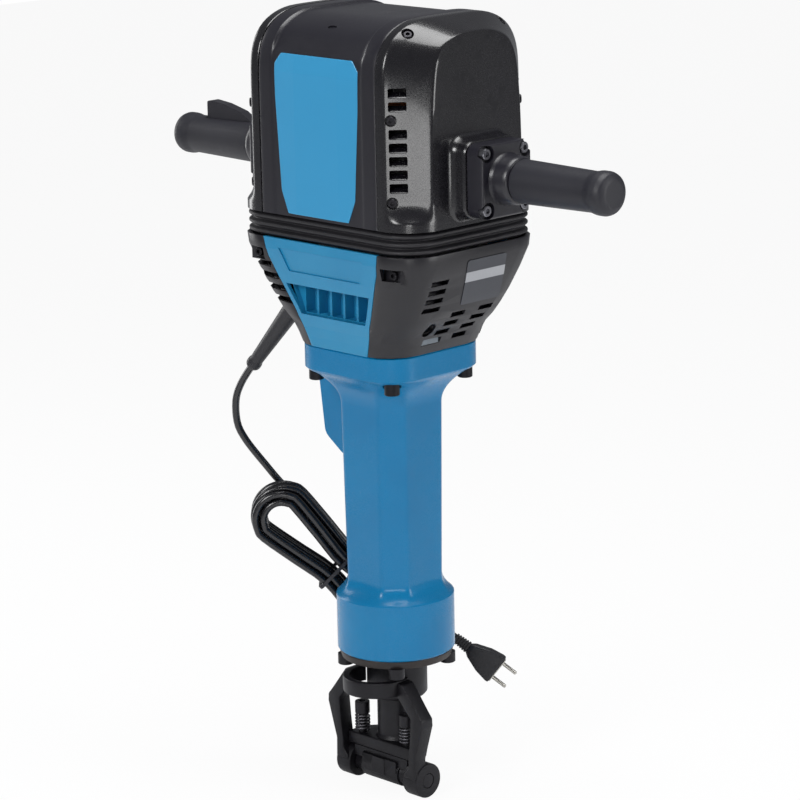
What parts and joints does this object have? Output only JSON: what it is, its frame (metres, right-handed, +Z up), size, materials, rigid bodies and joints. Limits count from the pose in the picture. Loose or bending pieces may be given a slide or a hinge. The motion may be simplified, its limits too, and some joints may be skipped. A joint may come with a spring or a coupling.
{
  "type": "electric jackhammer",
  "caption": "Upright electric breaker with two side handles, a vented motor casing, an octagonal hammer barrel, a hex bit socket with a swinging bit retainer, and a corded plug",
  "frame": {"origin": "centre of the hex bit socket's mouth, in the lower face of the nose plate", "axes": "+Z up along the hammer's axis to the top of the casing, +X along the handle without the trigger lever, -Y the front with the blue panel and the bit retainer"},
  "size_m": [0.625, 0.2422, 0.8375],
  "materials": {
    "blue_casting": "gloss",
    "panel_blue": "satin",
    "black_plastic": "satin",
    "gloss_black": "gloss",
    "rubber": "matte",
    "dark_steel": "blackened",
    "steel": "machined",
    "cast_alloy": "cast",
    "winding": "varnished",
    "clear_lens": "clear",
    "nickel": "polished"
  },
  "bodies": {
    "hammer": {"barrel_housing": "blue_casting", "nose_housing": "dark_steel", "nose_bolt_1": "dark_steel", "nose_bolt_2": "dark_steel", "nose_bolt_3": "dark_steel", "nose_bolt_4": "dark_steel", "bit_sleeve": "dark_steel", "guide_bush": "steel", "cylinder": "steel", "front_cover": "blue_casting", "rear_cover": "blue_casting", "lower_cover_right": "black_plastic", "lower_cover_left": "black_plastic", "indicator_window": "clear_lens", "crank_case": "cast_alloy", "gear_cover": "cast_alloy", "crank_bearing_1": "steel", "crank_bearing_2": "steel", "motor_housing": "black_plastic", "stator": "winding", "bellows": "rubber", "suspension_spring_1": "steel", "suspension_spring_2": "steel", "cushion_spring_1": "steel", "cushion_spring_2": "steel", "cord_guard": "rubber", "cord_lead": "rubber", "cord_hank": "rubber", "cord_tie": "black_plastic", "cord_tail": "rubber", "plug_body": "rubber", "plug_pins": "nickel"},
    "handle_frame": {"upper_band": "black_plastic", "front_panel": "panel_blue", "rear_panel": "panel_blue", "side_cover_right": "gloss_black", "side_cover_left": "gloss_black", "handle_bracket_right": "black_plastic", "handle_bracket_left": "black_plastic", "handle_tube_right": "steel", "handle_tube_left": "steel", "grip_right": "rubber", "grip_left": "rubber", "trigger_switch": "black_plastic"},
    "trigger": {"trigger_lever": "black_plastic"},
    "retainer_block": {"pivot_block": "dark_steel", "cushion_bolt_1": "dark_steel", "cushion_bolt_2": "dark_steel"},
    "retainer": {"bit_retainer": "dark_steel", "retainer_pin": "dark_steel"},
    "rotor": {"armature": "winding", "cooling_fan": "black_plastic"},
    "lay": {"layshaft": "steel"},
    "crank": {"crankshaft": "steel"},
    "rod": {"connecting_rod": "steel"},
    "piston_body": {"piston": "steel", "wrist_pin": "steel"},
    "striker_body": {"striker": "steel"},
    "impact": {"impact_bolt": "steel"}
  },
  "joints": [
    {"name": "handle_slide", "type": "slide", "parent": "hammer", "child": "handle_frame", "axis": [0, 0, 1], "range_m": [-0.01, 0.004], "stiffness_N_per_m": 12000, "springref_m": 0.0028, "deforming": ["bellows", "suspension_spring_1", "suspension_spring_2"]},
    {"name": "trigger_hinge", "type": "hinge", "parent": "handle_frame", "child": "trigger", "pos_m": [-0.204, 0, 0.6555], "axis": [0, -1, 0], "range_deg": [0, 6], "stiffness_Nm_per_rad": 0.5, "springref_deg": -11.46},
    {"name": "retainer_give", "type": "slide", "parent": "hammer", "child": "retainer_block", "axis": [0, 0, 1], "range_m": [-0.006, 0], "stiffness_N_per_m": 20000, "springref_m": 0.004, "deforming": ["cushion_spring_1", "cushion_spring_2"]},
    {"name": "retainer_swing", "type": "hinge", "parent": "retainer_block", "child": "retainer", "pos_m": [0, -0.0165, -0.0215], "axis": [1, 0, 0], "range_deg": [0, 180]},
    {"name": "crank_spin", "type": "hinge", "parent": "hammer", "child": "crank", "pos_m": [0, 0, 0.544], "axis": [1, 0, 0], "continuous": true},
    {"name": "intermediate_spin", "type": "hinge", "parent": "hammer", "child": "lay", "pos_m": [0, 0, 0.607], "axis": [1, 0, 0], "continuous": true},
    {"name": "rotor_spin", "type": "hinge", "parent": "hammer", "child": "rotor", "pos_m": [0, 0, 0.657], "axis": [1, 0, 0], "continuous": true},
    {"name": "piston_slide", "type": "slide", "parent": "hammer", "child": "piston_body", "axis": [0, 0, 1], "range_m": [0, 0.04]},
    {"name": "rod_swing", "type": "hinge", "parent": "piston_body", "child": "rod", "pos_m": [0, 0, 0.434], "axis": [1, 0, 0], "range_deg": [-12.8, 12.8]},
    {"name": "striker_slide", "type": "slide", "parent": "hammer", "child": "striker_body", "axis": [0, 0, 1], "range_m": [0, 0.024]},
    {"name": "impact_slide", "type": "slide", "parent": "hammer", "child": "impact", "axis": [0, 0, 1], "range_m": [0, 0.006]}
  ],
  "couplings": [
    {"joint": "intermediate_spin", "follows": "crank_spin", "ratio": -3.2},
    {"joint": "rotor_spin", "follows": "crank_spin", "ratio": 12.8}
  ]
}
